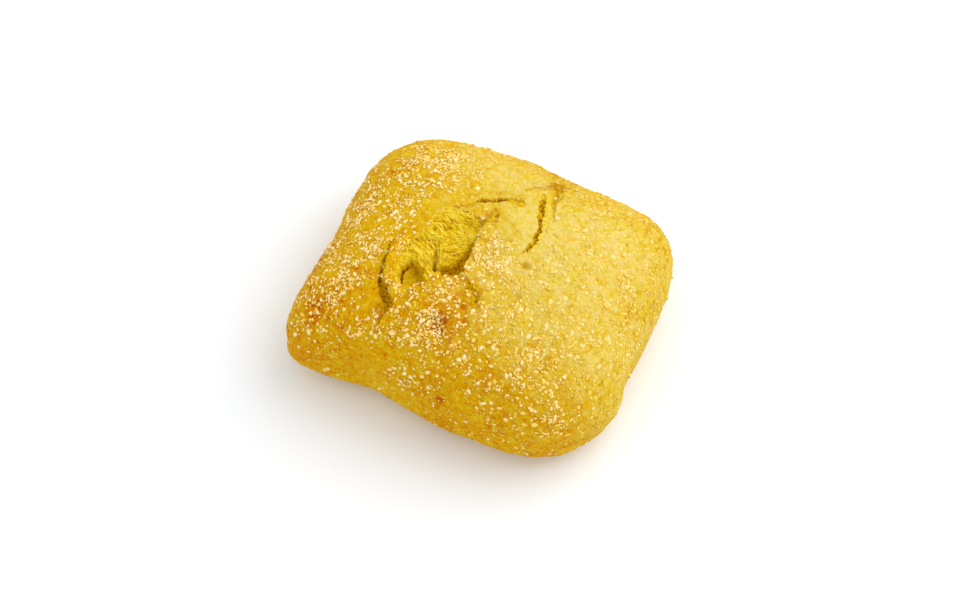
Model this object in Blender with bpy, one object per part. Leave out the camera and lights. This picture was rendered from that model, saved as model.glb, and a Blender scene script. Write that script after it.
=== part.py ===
"""A mini ciabatta roll of yellow maize dough: one solid, with a torn split in its crust and coarse grits baked on."""

import math
import random

import bmesh
import bpy
from mathutils import Vector, noise

# The script works in millimetres, and the finished mesh is scaled to metres.
MM = 0.001

LENGTH, WIDTH, HEIGHT = 92.0, 78.0, 41.0
BELLY_HEIGHT = 14.0
CORNER_POWERS = {(1, 1): 5.0, (-1, 1): 4.2, (-1, -1): 8.0, (1, -1): 4.2}
CROWN_POWER = 2.4
CROWN_PROFILE, FOOT_PROFILE = 2.35, 3.6
FOOT_REACH = 1.08

# Where the dough swells or sinks: the place, how far it reaches, and how the skin moves there.
SWELLS = (
    ((-20.0, -41.0, 12.0), 15.0, (0.0, 3.2, 0.0)),
    ((9.0, 38.0, 24.0), 7.0, (0.0, -0.9, 0.0)),
    ((-20.0, 34.0, 18.0), 15.0, (0.0, 1.6, 0.0)),
    ((47.0, -6.5, 10.0), 3.6, (-1.0, 0.3, 0.0)),
    ((47.0, -17.0, 10.0), 9.0, (1.1, 0.0, 0.0)),
    ((44.0, -36.0, 12.0), 10.0, (-1.4, 0.6, 0.0)),
    ((-45.0, -37.0, 12.0), 9.0, (-0.2, -0.2, 0.0)),
    ((36.0, 34.0, 22.0), 14.0, (0.5, 1.3, 0.3)),
    ((0.0, 36.0, 28.0), 11.0, (0.0, 1.3, 0.6)),
    ((-12.0, -38.0, 16.0), 11.0, (0.0, 0.7, 0.0)),
    ((-47.0, -4.0, 16.0), 16.0, (1.2, 0.0, 0.0)),
    ((5.5, 9.4, 39.0), 6.0, (0.0, 0.0, 0.8)),
    ((24.0, 4.0, 34.0), 16.0, (0.0, 0.0, 1.0)),
    ((-30.0, 18.0, 30.0), 14.0, (0.5, 0.0, 0.8)),
    ((2.0, -22.0, 36.0), 10.0, (0.0, 0.0, 0.7)),
)
LUMPS = ((13.0, 0.55), (5.0, 0.22))

# The torn split, seen from above: a soft far lip that slopes in, and a sharp near lip over the deep side.
SOFT_LIP = (
    (-17.4, -19.4),
    (-19.8, -16.1),
    (-20.8, -11.5),
    (-21.2, -6.5),
    (-20.2, -1.5),
    (-17.8, 2.8),
    (-14.8, 5.8),
    (-11.6, 7.7),
    (-8.0, 8.4),
    (-5.0, 7.5),
    (-2.8, 6.9),
)
SHARP_LIP = (
    (-17.4, -19.4),
    (-15.8, -18.2),
    (-13.2, -17.8),
    (-10.3, -16.2),
    (-8.6, -13.4),
    (-5.8, -12.4),
    (-2.9, -11.3),
    (-1.5, -9.9),
    (-2.1, -7.0),
    (-2.3, -2.2),
    (-2.6, 2.4),
    (-2.8, 6.9),
)
SPLIT_OUTLINE = SOFT_LIP + SHARP_LIP[-2:0:-1]
SPLIT_DEPTH = 2.2
# Hollows in the split's floor: the place, how far each reaches, and how much deeper it is.
HOLLOWS = (
    ((-5.4, -6.0), 5.6, 1.3),
    ((-15.0, -13.4), 5.0, 0.6),
    ((-12.0, -8.0), 4.5, 0.8),
)
LIP_WALL = 1.0
UNDERCUT = 1.4

# Troughs and ridges: each point gives its place, half its width, and its depth, which is below 0 on a ridge.
LEFT_POCKET = ((-17.6, -14.4, 2.6, 2.9), (-14.8, -13.0, 2.9, 2.3), (-13.0, -13.4, 2.2, 1.6))
RIGHT_POCKET = ((-7.0, -10.4, 2.4, 3.2), (-4.2, -6.6, 1.7, 3.0), (-3.6, -1.6, 1.2, 2.4), (-3.4, 3.6, 0.9, 1.2))
SEPTUM = ((-10.9, -3.4, 0.8, -0.7), (-9.7, -6.2, 0.8, -1.3), (-8.8, -9.4, 0.8, -2.4), (-7.7, -13.0, 0.9, -3.0))
CREVICE = (
    (-16.9, -24.4, 0.8, 1.8),
    (-19.2, -21.9, 1.1, 2.6),
    (-21.3, -19.0, 0.8, 1.8),
    (-22.9, -15.2, 0.7, 1.2),
    (-23.5, -11.0, 0.6, 0.8),
    (-23.4, -6.6, 0.6, 0.4),
)
RIM = (
    (-16.8, -21.4, 0.9, -0.6),
    (-18.8, -19.6, 0.9, -1.0),
    (-20.7, -16.8, 0.9, -1.2),
    (-22.1, -12.4, 0.8, -1.1),
    (-22.3, -8.2, 0.8, -0.9),
    (-21.6, -4.0, 0.9, -0.6),
    (-19.8, -0.8, 0.9, -0.3),
)
FLAP_EDGE = ((-1.0, -9.4, 1.2, -0.5), (-1.2, -3.0, 1.2, -0.9), (-1.4, 2.4, 1.1, -0.7), (-1.6, 6.6, 1.0, -0.3))
CREASE = ((-12.7, 6.7, 0.7, 0.4), (-9.6, 8.1, 0.7, 0.6), (-6.6, 7.8, 0.7, 0.8), (-3.6, 6.8, 0.7, 0.9))
TOP_CRACK = (
    (-10.6, 9.4, 0.7, 0.3),
    (-8.5, 10.5, 0.7, 0.8),
    (-5.8, 13.9, 0.9, 1.4),
    (-3.2, 15.2, 0.7, 1.1),
    (1.8, 17.1, 0.9, 1.0),
    (4.0, 16.6, 1.2, 1.0),
)
RIGHT_CRACK = (
    (7.8, 24.4, 0.7, 0.5),
    (8.6, 18.8, 1.0, 1.4),
    (10.6, 14.8, 0.9, 1.4),
    (11.8, 8.2, 0.8, 1.4),
    (11.2, 2.6, 0.7, 0.9),
    (9.8, 1.5, 0.7, 0.4),
)
OUTER_CRACK = ((8.4, 29.0, 0.9, 0.6), (10.5, 23.4, 0.7, 0.5), (13.6, 16.4, 0.7, 0.5))
CORNER_SLIT = ((2.3, 22.0, 0.7, 0.4), (4.6, 24.4, 0.7, 0.6), (8.0, 26.2, 0.7, 0.6))
PIT_ROW = ((-0.5, -11.2, 0.7, 0.5), (1.5, -12.6, 0.9, 1.1), (4.8, -15.6, 0.9, 1.2), (5.4, -17.4, 0.7, 0.5))
VALLEY = ((-18.4, -26.0, 1.9, 1.6), (-20.0, -30.0, 2.2, 1.4), (-21.6, -34.0, 2.4, 0.8))
CRACKS = (CREVICE, RIM, FLAP_EDGE, CREASE, TOP_CRACK, RIGHT_CRACK, OUTER_CRACK, CORNER_SLIT, PIT_ROW, VALLEY)

# Small pits in the crust: the place, how far each reaches, and its depth.
PITS = (
    ((14.2, -10.6), 1.0, 1.1),
    ((9.7, -16.0), 1.0, 0.9),
    ((12.4, -1.4), 0.8, 0.9),
    ((-2.8, -24.2), 2.2, 1.3),
)

CELLS_LONG, CELLS_WIDE, CELLS_HIGH = 25, 21, 8
# The mesh is made finer twice where its squares come this near to the split or a crack.
FINER_REACH = (3.4, 1.4)

GRIT_COUNT = 145
GRIT_RADII = (0.55, 0.85)
GRIT_GAP = 3.4
GRIT_SHARE_OUT = 0.2
GRIT_STEEPEST = 0.3
SMOOTH_LOBE, SMOOTH_REACH = (4.5, 11.0), 9.0
SEED = 7

CRUST_COLOR = (0.76, 0.44, 0.045, 1.0)
CRUST_ROUGHNESS = 0.6


def smoothstep(low, high, value):
    t = min(max((value - low) / (high - low), 0.0), 1.0)
    return t * t * (3 - 2 * t)


def bell(distance, reach):
    return math.exp(-((distance / reach) ** 2))


def plan_power(cube):
    """How square the plan is in this direction: squarer low down, rounder towards the crown."""
    corner = CORNER_POWERS[(1 if cube.x >= 0 else -1, 1 if cube.y >= 0 else -1)]
    wide = max(abs(cube.x), abs(cube.y))
    steepness = cube.z / (cube.z + wide) if cube.z > 0 else 0.0
    return corner + (CROWN_POWER - corner) * smoothstep(0.1, 0.75, steepness)


def pillow(cube):
    """Where a point of the cube from -1 to 1 lies on the plain risen roll, which stands on a flat foot."""
    power = plan_power(cube)
    if cube.z >= 0:
        profile, reach = CROWN_PROFILE, HEIGHT - BELLY_HEIGHT
    else:
        profile, reach = FOOT_PROFILE, BELLY_HEIGHT * FOOT_REACH
    plan = (abs(cube.x) ** power + abs(cube.y) ** power) ** (1 / power)
    size = (plan**profile + abs(cube.z) ** profile) ** (-1 / profile)
    x, y = cube.x * size, cube.y * size
    z = BELLY_HEIGHT + cube.z * size * reach
    return Vector((x * LENGTH / 2, y * WIDTH / 2, max(z, 0.0)))


def nearest(place, line):
    """How far a line of points is, its nearest place, and how many points along the line that is."""
    found = []
    for step, (start, end) in enumerate(zip(line, line[1:])):
        start, way = Vector(start[:2]), Vector(end[:2]) - Vector(start[:2])
        share = min(max((place - start).dot(way) / way.length_squared, 0.0), 1.0)
        there = start + way * share
        found.append(((place - there).length, step + share, there))
    return min(found, key=lambda row: row[:2])


def crack_depth(place, line):
    gap, along, _ = nearest(place, line)
    step = min(int(along), len(line) - 2)
    share = along - step
    width, depth = (line[step][k] * (1 - share) + line[step + 1][k] * share for k in (2, 3))
    return depth * bell(gap, width)


def inside(place, outline):
    crossings = 0
    for (ax, ay), (bx, by) in zip(outline, outline[1:] + outline[:1]):
        if (ay > place.y) != (by > place.y):
            crossings += place.x < ax + (bx - ax) * (place.y - ay) / (by - ay)
    return crossings % 2 == 1


def split_cut(place):
    """How deep the split is here, and how far its wall is pushed in under the sharp lip."""
    if not inside(place, SPLIT_OUTLINE):
        return 0.0, Vector((0.0, 0.0))
    soft_gap, _, _ = nearest(place, SOFT_LIP)
    sharp_gap, _, lip = nearest(place, SHARP_LIP)
    across = soft_gap / (soft_gap + sharp_gap)
    depth = SPLIT_DEPTH + sum(deeper * bell((place - Vector(at)).length, reach) for at, reach, deeper in HOLLOWS)
    pockets = sum(crack_depth(place, line) for line in (LEFT_POCKET, RIGHT_POCKET, SEPTUM))
    depth = depth * smoothstep(0.0, 0.6, across) + pockets * smoothstep(0.0, 0.12, across)
    wall = smoothstep(0.0, LIP_WALL, sharp_gap)
    under = (lip - place).normalized() * UNDERCUT * wall * bell(sharp_gap, 3 * LIP_WALL)
    return depth * wall, under


def swollen(point):
    """The roll's skin with its swells, its lumps and the hollows between them, but no cracks."""
    moved = point.copy()
    for at, reach, push in SWELLS:
        moved += Vector(push) * bell((point - Vector(at)).length, reach)
    for size, height in LUMPS:
        out = Vector((point.x, point.y, point.z - BELLY_HEIGHT)).normalized()
        moved += out * noise.noise(point / size) * height
    foot = smoothstep(0.0, 3.0, point.z)
    moved.z = point.z + (moved.z - point.z) * foot
    return moved


def roll_point(cube):
    """Where a point of the cube lies on the finished roll."""
    plain = pillow(cube)
    point = swollen(plain)
    top = smoothstep(22.0, 30.0, plain.z)
    if top == 0.0:
        return point
    place = plain.to_2d()
    depth, under = split_cut(place)
    depth += sum(crack_depth(place, line) for line in CRACKS)
    depth += sum(deep * bell((place - Vector(at)).length, reach) for at, reach, deep in PITS)
    point.z -= depth * top
    return point + under.to_3d() * top


def torn(place, reach):
    """Whether the split or a crack comes within reach of this place, seen from above."""
    if inside(place, SPLIT_OUTLINE):
        return True
    lines = (*CRACKS, SPLIT_OUTLINE)
    return min(nearest(place, line)[0] for line in lines) < reach


def cube_grid():
    """A cube from -1 to 1 in even cells, with smaller ones on top where the split is."""
    bm = bmesh.new()
    bmesh.ops.create_cube(bm, size=2)
    for axis, cells in enumerate((CELLS_LONG, CELLS_WIDE, CELLS_HIGH)):
        along = [edge for edge in bm.edges if abs(edge.verts[0].co[axis] - edge.verts[1].co[axis]) > 1]
        bmesh.ops.subdivide_edges(bm, edges=along, cuts=cells - 1, use_grid_fill=True)
    for reach in FINER_REACH:
        top = [face for face in bm.faces if face.normal.z > 0.5]
        near = [face for face in top if torn(pillow(face.calc_center_median()).to_2d(), reach)]
        edges = list({edge for face in near for edge in face.edges})
        bmesh.ops.subdivide_edges(bm, edges=edges, cuts=1, use_grid_fill=True)
    bmesh.ops.triangulate(bm, faces=[face for face in bm.faces if len(face.verts) > 4])
    return bm


def make_body():
    bm = cube_grid()
    for vert in bm.verts:
        vert.co = roll_point(vert.co) * MM
    for axis in (0, 1):
        sides = [vert.co[axis] for vert in bm.verts]
        middle = (min(sides) + max(sides)) / 2
        for vert in bm.verts:
            vert.co[axis] -= middle
    mesh = bpy.data.meshes.new("ciabatta")
    bm.to_mesh(mesh)
    bm.free()
    return bpy.data.objects.new("ciabatta", mesh)


def grit_wanted(place, draw):
    """Whether a grit is baked on here. They lie thick on the left and round the split, and none in it."""
    if inside(place, SPLIT_OUTLINE) or (place - Vector(SMOOTH_LOBE)).length < SMOOTH_REACH:
        return False
    thickness = 0.35 + 0.65 * smoothstep(6.0, -14.0, place.x)
    return draw.random() < thickness


def grit_places(body, draw):
    """Places on the skin and the way out there, spread evenly by a seeded draw."""
    faces = [face for face in body.polygons if face.normal.z > GRIT_STEEPEST]
    areas = [face.area for face in faces]
    found = []
    while len(found) < GRIT_COUNT:
        face = draw.choices(faces, areas)[0]
        corners = [body.vertices[index].co for index in face.vertices[:3]]
        shares = sorted((draw.random(), draw.random()))
        shares = (shares[0], shares[1] - shares[0], 1 - shares[1])
        place = sum((corner * share for corner, share in zip(corners, shares)), Vector()) / MM
        apart = all((place - other).length > GRIT_GAP for other, _ in found)
        if apart and grit_wanted(place.to_2d(), draw):
            found.append((place, face.normal.copy()))
    return found


def make_grits(body, collection):
    """The largest grits, as chips with a few faces, each sunk by about half."""
    draw = random.Random(SEED)
    for number, (place, out) in enumerate(grit_places(body, draw)):
        radius = draw.uniform(*GRIT_RADII)
        bm = bmesh.new()
        bmesh.ops.create_icosphere(bm, subdivisions=1, radius=radius * MM)
        for vert in bm.verts:
            vert.co *= draw.uniform(0.85, 1.1)
        mesh = bpy.data.meshes.new(f"grit_{number}")
        bm.to_mesh(mesh)
        bm.free()
        grit = bpy.data.objects.new(f"grit_{number}", mesh)
        grit.location = (place + out * radius * GRIT_SHARE_OUT) * MM
        collection.objects.link(grit)


def crust_material():
    material = bpy.data.materials.new("maize_crust")
    material.use_nodes = True
    shader = material.node_tree.nodes["Principled BSDF"]
    shader.inputs["Base Color"].default_value = CRUST_COLOR
    shader.inputs["Roughness"].default_value = CRUST_ROUGHNESS
    return material


def fuse(roll, grits):
    """Joins the grits to the roll for good, and takes the loose ones away."""
    union = roll.modifiers.new("grits", "BOOLEAN")
    union.operation = "UNION"
    union.operand_type = "COLLECTION"
    union.collection = grits
    union.solver = "MANIFOLD"
    bpy.context.view_layer.update()
    graph = bpy.context.evaluated_depsgraph_get()
    fused = bpy.data.meshes.new_from_object(roll.evaluated_get(graph))
    roll.modifiers.clear()
    roll.data = fused
    for grit in list(grits.objects):
        bpy.data.objects.remove(grit)
    bpy.data.collections.remove(grits)


def main():
    for old in list(bpy.data.objects):
        bpy.data.objects.remove(old)
    bread = bpy.data.collections.new("mini_ciabatta")
    grits = bpy.data.collections.new("grits")
    for collection in (bread, grits):
        bpy.context.scene.collection.children.link(collection)
    roll = make_body()
    bread.objects.link(roll)
    make_grits(roll.data, grits)
    fuse(roll, grits)
    roll.data.materials.clear()
    roll.data.materials.append(crust_material())


main()
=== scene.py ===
"""The looks of a mini ciabatta: a yellow maize crust with coarse grits, torn open over a bright crumb."""

import math
from itertools import product

import bmesh
import bpy
import numpy as np
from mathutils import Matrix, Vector, noise
from mathutils.bvhtree import BVHTree
from mathutils.kdtree import KDTree


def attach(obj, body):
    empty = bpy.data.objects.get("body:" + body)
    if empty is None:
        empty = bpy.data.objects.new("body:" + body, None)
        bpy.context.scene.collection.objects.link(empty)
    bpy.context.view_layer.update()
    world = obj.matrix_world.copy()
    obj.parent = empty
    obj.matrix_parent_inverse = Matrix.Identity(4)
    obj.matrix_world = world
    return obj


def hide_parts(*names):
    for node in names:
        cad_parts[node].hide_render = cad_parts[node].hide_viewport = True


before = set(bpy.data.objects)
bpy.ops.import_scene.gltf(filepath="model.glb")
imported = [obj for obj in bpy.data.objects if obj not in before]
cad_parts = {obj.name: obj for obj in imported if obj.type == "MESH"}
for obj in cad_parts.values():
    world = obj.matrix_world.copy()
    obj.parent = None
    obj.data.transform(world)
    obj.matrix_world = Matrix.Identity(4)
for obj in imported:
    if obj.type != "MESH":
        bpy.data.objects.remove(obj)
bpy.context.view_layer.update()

# Shapes are worked out in millimetres, and a finished mesh is scaled to metres.
MM = 0.001
SEED = 11
# Keeps a division by a distance from failing where it is 0.
TINY = 1e-9

# The risen roll, as the solid has it.
LENGTH, WIDTH, HEIGHT = 92.0, 78.0, 41.0
BELLY_HEIGHT = 14.0
BACK_LEFT, BACK_RIGHT, FRONT_LEFT, FRONT_RIGHT = 4.2, 5.0, 8.0, 4.2
CROWN_POWER, CROWN_BLEND = 2.4, (0.1, 0.75)
CROWN_PROFILE, FOOT_PROFILE = 2.35, 3.6
FOOT_REACH = 1.08

# Where the dough swells or sinks: the place, how far it reaches, and how the skin moves there.
SWELLS = (
    ((-20.0, -41.0, 12.0), 15.0, (0.0, 3.2, 0.0)),
    ((9.0, 38.0, 24.0), 7.0, (0.0, -0.9, 0.0)),
    ((-20.0, 34.0, 18.0), 15.0, (0.0, 1.6, 0.0)),
    ((47.0, -6.5, 10.0), 3.6, (-1.0, 0.3, 0.0)),
    ((47.0, -17.0, 10.0), 9.0, (1.1, 0.0, 0.0)),
    ((44.0, -36.0, 12.0), 10.0, (-1.4, 0.6, 0.0)),
    ((-45.0, -37.0, 12.0), 9.0, (-0.2, -0.2, 0.0)),
    ((36.0, 34.0, 22.0), 14.0, (0.5, 1.3, 0.3)),
    ((0.0, 36.0, 28.0), 11.0, (0.0, 1.3, 0.6)),
    ((-12.0, -38.0, 16.0), 11.0, (0.0, 0.7, 0.0)),
    ((-47.0, -4.0, 16.0), 16.0, (1.2, 0.0, 0.0)),
    ((5.5, 9.4, 39.0), 6.0, (0.0, 0.0, 0.8)),
    ((24.0, 4.0, 34.0), 16.0, (0.0, 0.0, 1.0)),
    ((-30.0, 18.0, 30.0), 14.0, (0.5, 0.0, 0.8)),
    ((2.0, -22.0, 36.0), 10.0, (0.0, 0.0, 0.7)),
)
# The dough's lumps, by size and height, and how far above the flat foot the skin rises and sinks in full.
LUMPS = ((13.0, 0.55), (5.0, 0.22))
FOOT_EASE = 3.0

# The torn split, seen from above: a soft far lip that slopes in, and a sharp near lip over the deep side.
SOFT_LIP = (
    (-17.4, -19.4),
    (-19.8, -16.1),
    (-20.8, -11.5),
    (-21.2, -6.5),
    (-20.2, -1.5),
    (-17.8, 2.8),
    (-14.8, 5.8),
    (-11.6, 7.7),
    (-8.0, 8.4),
    (-5.0, 7.5),
    (-2.8, 6.9),
)
SHARP_LIP = (
    (-17.4, -19.4),
    (-15.8, -18.2),
    (-13.2, -17.8),
    (-10.3, -16.2),
    (-8.6, -13.4),
    (-5.8, -12.4),
    (-2.9, -11.3),
    (-1.5, -9.9),
    (-2.1, -7.0),
    (-2.3, -2.2),
    (-2.6, 2.4),
    (-2.8, 6.9),
)
SPLIT_OUTLINE = SOFT_LIP + SHARP_LIP[-2:0:-1]
# The share of the way across from the soft lip at which the slope, and its pockets, are at full depth.
SLOPE_EASE, POCKET_EASE = 0.6, 0.12
SPLIT_DEPTH = 2.2
# Where it is deeper: the place, how far, and how much.
HOLLOWS = (
    ((-5.4, -6.0), 5.6, 1.3),
    ((-15.0, -13.4), 5.0, 0.6),
    ((-12.0, -8.0), 4.5, 0.8),
)
# How wide the sharp lip's wall is, and how far it is pushed in under the lip.
LIP_WALL = 0.7
UNDERCUT, UNDERCUT_REACH = 1.4, 3 * LIP_WALL

# The cave at the split's left end: its outline, depth and wall width, and the relief that its floor keeps.
CAVE = (
    (-16.7, -17.2),
    (-17.9, -15.0),
    (-18.4, -11.8),
    (-16.8, -10.0),
    (-14.8, -10.6),
    (-12.8, -11.8),
    (-11.0, -13.0),
    (-10.3, -14.8),
    (-11.6, -16.6),
    (-14.6, -18.0),
)
CAVE_DEPTH, CAVE_WALL = 2.7, 0.45
CAVE_RELIEF = 0.50

# The shade along the cave's edge: each point gives its place, half its width, and how dark it is.
CAVE_SHADE = (
    (-16.2, -17.2, 0.22, 0.9),
    (-16.9, -16.3, 0.26, 1.3),
    (-17.3, -14.9, 0.27, 1.5),
    (-17.7, -12.6, 0.28, 1.4),
    (-17.1, -11.1, 0.26, 1.0),
    (-16.2, -10.4, 0.20, 0.6),
    (-14.8, -10.9, 0.16, 0.3),
    (-12.2, -15.9, 0.16, 0.9),
)

# Where the crumb lies in shade between its threads: the place, how far, and how dark.
CRUMB_SHADE = (
    ((-13.6, -8.2), 2.2, 0.26),
    ((-12.0, -9.8), 1.0, 0.20),
    ((-19.9, -7.6), 1.3, 0.14),
    ((-6.4, -2.0), 1.8, 0.12),
)

# Troughs and ridges, as points along them. Each point gives its place, half its width, and its depth,
# which is below 0 on a ridge.
RIGHT_POCKET = (
    (-7.0, -10.4, 2.4, 3.2),
    (-4.2, -6.6, 1.6, 2.9),
    (-3.6, -1.6, 0.9, 1.9),
    (-3.4, 3.6, 0.6, 0.9),
)
VALLEY_IN_CRUMB = ((-12.2, -4.2, 0.5, 0.5), (-10.9, -6.8, 0.5, 0.9), (-10.1, -10.0, 0.6, 2.2))
SEPTUM = (
    (-10.9, -3.4, 0.7, -0.7),
    (-9.7, -6.2, 0.6, -1.3),
    (-8.8, -9.4, 0.6, -2.4),
    (-7.7, -13.0, 0.8, -3.0),
)
ARCH = (
    (-18.6, -10.7, 0.40, -0.5),
    (-16.4, -9.4, 0.50, -1.0),
    (-14.2, -9.9, 0.50, -1.2),
    (-12.0, -11.6, 0.50, -1.2),
    (-10.5, -13.6, 0.45, -0.9),
)
CREVICE = (
    (-16.7, -24.0, 0.9, 1.8),
    (-18.7, -21.9, 1.5, 2.4),
    (-21.3, -19.0, 0.7, 1.8),
    (-22.9, -15.2, 0.55, 1.2),
    (-23.5, -11.0, 0.40, 0.8),
    (-23.4, -6.6, 0.3, 0.4),
)
RIM = (
    (-16.8, -21.4, 0.9, -0.6),
    (-18.8, -19.6, 1.0, -1.3),
    (-20.7, -16.8, 1.0, -1.7),
    (-22.1, -12.4, 0.9, -1.6),
    (-22.3, -8.2, 0.9, -1.2),
    (-21.6, -4.0, 0.9, -0.8),
    (-19.8, -0.8, 0.9, -0.3),
)
FLAP_EDGE = (
    (-1.0, -9.4, 1.2, -0.5),
    (-1.2, -3.0, 1.2, -0.9),
    (-1.4, 2.4, 1.1, -0.7),
    (-1.6, 6.6, 1.0, -0.3),
)
CRUMB_STEP = (
    (-18.3, -4.8, 0.4, 0.6),
    (-16.2, -3.6, 0.5, 1.1),
    (-14.0, -2.7, 0.5, 1.2),
    (-12.3, -3.6, 0.5, 1.3),
)
CREASE = (
    (-12.7, 6.7, 0.4, 0.3),
    (-9.6, 8.1, 0.5, 0.5),
    (-6.6, 7.8, 0.6, 0.5),
    (-3.6, 6.8, 0.6, 0.4),
    (-0.6, 6.5, 0.5, 0.2),
)
TOP_CRACK = (
    (-10.6, 9.4, 0.35, 0.3),
    (-8.6, 10.8, 0.45, 0.5),
    (-7.0, 12.9, 0.55, 0.8),
    (-5.9, 13.8, 0.75, 1.1),
    (-4.3, 14.8, 0.45, 0.7),
    (-2.3, 15.6, 0.70, 1.1),
    (-0.6, 16.3, 0.55, 0.8),
    (1.4, 16.6, 0.80, 0.5),
    (3.4, 16.9, 1.20, 0.5),
)
RIGHT_CRACK = (
    (7.8, 23.2, 0.40, 0.4),
    (8.0, 21.4, 0.85, 0.8),
    (8.7, 18.6, 1.00, 1.0),
    (10.1, 15.4, 0.90, 1.1),
    (11.3, 12.4, 0.70, 1.1),
    (11.5, 10.0, 0.50, 1.1),
    (11.7, 8.0, 0.70, 1.5),
    (11.5, 6.0, 0.45, 1.0),
    (11.2, 4.2, 0.55, 1.3),
    (10.9, 2.6, 0.40, 0.8),
    (9.9, 1.7, 0.30, 0.4),
)
TORN_BAND = (
    (9.0, 25.6, 1.2, 0.25),
    (9.6, 20.8, 1.4, 0.30),
    (11.6, 15.2, 1.3, 0.30),
    (12.4, 10.0, 1.1, 0.25),
    (12.0, 4.2, 0.8, 0.20),
)
OUTER_CRACK = (
    (9.8, 28.9, 0.9, 0.30),
    (10.3, 25.8, 0.8, 0.35),
    (10.8, 22.8, 0.6, 0.35),
    (11.8, 20.2, 0.55, 0.35),
    (13.4, 17.5, 0.55, 0.40),
    (13.9, 15.4, 0.5, 0.25),
)
CORNER_SLIT = ((2.3, 22.0, 0.5, 0.2), (4.6, 24.4, 0.7, 0.35), (6.4, 24.8, 0.6, 0.35), (8.0, 27.2, 0.7, 0.4))
PIT_ROW = (
    (-0.5, -11.4, 0.7, 0.5),
    (1.2, -12.5, 1.1, 0.8),
    (3.0, -13.8, 0.8, 0.5),
    (4.6, -15.4, 1.1, 0.8),
    (5.4, -17.2, 0.7, 0.5),
)
LOBE_TEAR = ((-2.0, 11.4, 0.9, 0.4), (-1.2, 8.8, 1.3, 0.6))
LOBE_FOLD = ((4.8, 7.9, 0.9, 0.15), (6.6, 6.6, 1.1, 0.25), (7.8, 5.6, 0.9, 0.15))
SHORT_CRACK = ((16.5, 7.6, 0.4, 0.35), (17.8, 5.8, 0.4, 0.35))
VALLEY = ((-18.4, -26.0, 1.9, 1.6), (-20.0, -30.0, 2.2, 1.4), (-21.6, -34.0, 2.4, 0.8))
FOLD_LINE = (
    (-16.8, -25.4, 0.4, 0.3),
    (-17.5, -27.2, 0.6, 0.4),
    (-17.4, -30.0, 0.6, 0.3),
    (-17.0, -32.4, 0.5, 0.15),
)
# Where a steep trough's side starts and ends, in its half widths.
STEEP_SIDE = (0.6, 1.15)

# All the troughs and ridges in the crust, outside the split.
CRACKS = (
    CREVICE,
    FOLD_LINE,
    RIM,
    FLAP_EDGE,
    CREASE,
    TOP_CRACK,
    RIGHT_CRACK,
    TORN_BAND,
    OUTER_CRACK,
    CORNER_SLIT,
    PIT_ROW,
    LOBE_TEAR,
    LOBE_FOLD,
    SHORT_CRACK,
    VALLEY,
)

# Small pits in the crust: the place, how far each reaches, and its depth.
PITS = (
    ((14.2, -10.6), 1.0, 1.1),
    ((9.7, -16.0), 1.0, 0.9),
    ((12.4, -1.4), 0.8, 0.9),
    ((-2.8, -24.2), 2.2, 1.6),
    ((-1.6, -25.2), 1.0, 0.9),
    ((21.2, -13.6), 1.0, 0.5),
    ((16.7, -22.9), 1.2, 0.5),
    ((20.2, 4.0), 0.8, 0.4),
)

# The fine relief that the solid leaves out: lump size and height on the crust, and on the crumb, where the
# noise is read a shift away.
CRUST_RELIEF = ((4.5, 0.24), (2.2, 0.17), (1.15, 0.13))
CRUMB_RELIEF = ((3.0, 0.45), (1.5, 0.72), (0.8, 0.44))
CRUMB_SHIFT = 50.0

# How torn edges stray: each noise's size and reach, and the shift that sets its second axis apart.
RAGGED_SIZES = ((2.4, 0.60), (1.0, 0.45), (0.5, 0.22))
RAGGED_SHIFT = 31.0

# The crust's cells along each side, the height above which they are halved, and how near to a crack again.
CRUST_CELLS = (86, 73, 26)
FINER_ABOVE = 5.0
FINER_REACHES = (1.6, 0.75)

# The heights over which torn features fade in, and how much cut makes crumb, or half crumb in a band.
TOP_HEIGHTS = (22.0, 30.0)
CRUMB_CUT = (0.2, 0.7)
BAND_CUT, BAND_CRUMB = (0.05, 0.3), 0.55
FOOT_HEIGHT = 1.5

# How dark the crumb's painted shade gets: from which depth, over how much more, at most, and how much less
# in the cave.
SHADE_FROM, SHADE_OVER, SHADE_MOST, CAVE_LIGHT = 2.5, 6.5, 0.7, 0.65
# How much cut gives a crack's crumb painted shade, and how dark that shade is.
CRACK_CUT, CRACK_SHADE = (0.2, 1.0), 0.70

# Where the crust is pale and floury: its heights, its left end along a slant, and its front and back ends.
SLANT = 0.5
PALE_HEIGHTS, PALE_LEFT = (14.0, 30.0), (-24.0, 16.0)
PALE_FRONT, PALE_BACK, PALE_BACK_LOSS = (-40.0, -12.0), (20.0, 38.0), 0.4
# Right of this the crust counts as higher than it is, by up to the reach, so that its edge is pale too.
PALE_RIM, PALE_RIM_REACH = 22.0, 14.0

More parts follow.
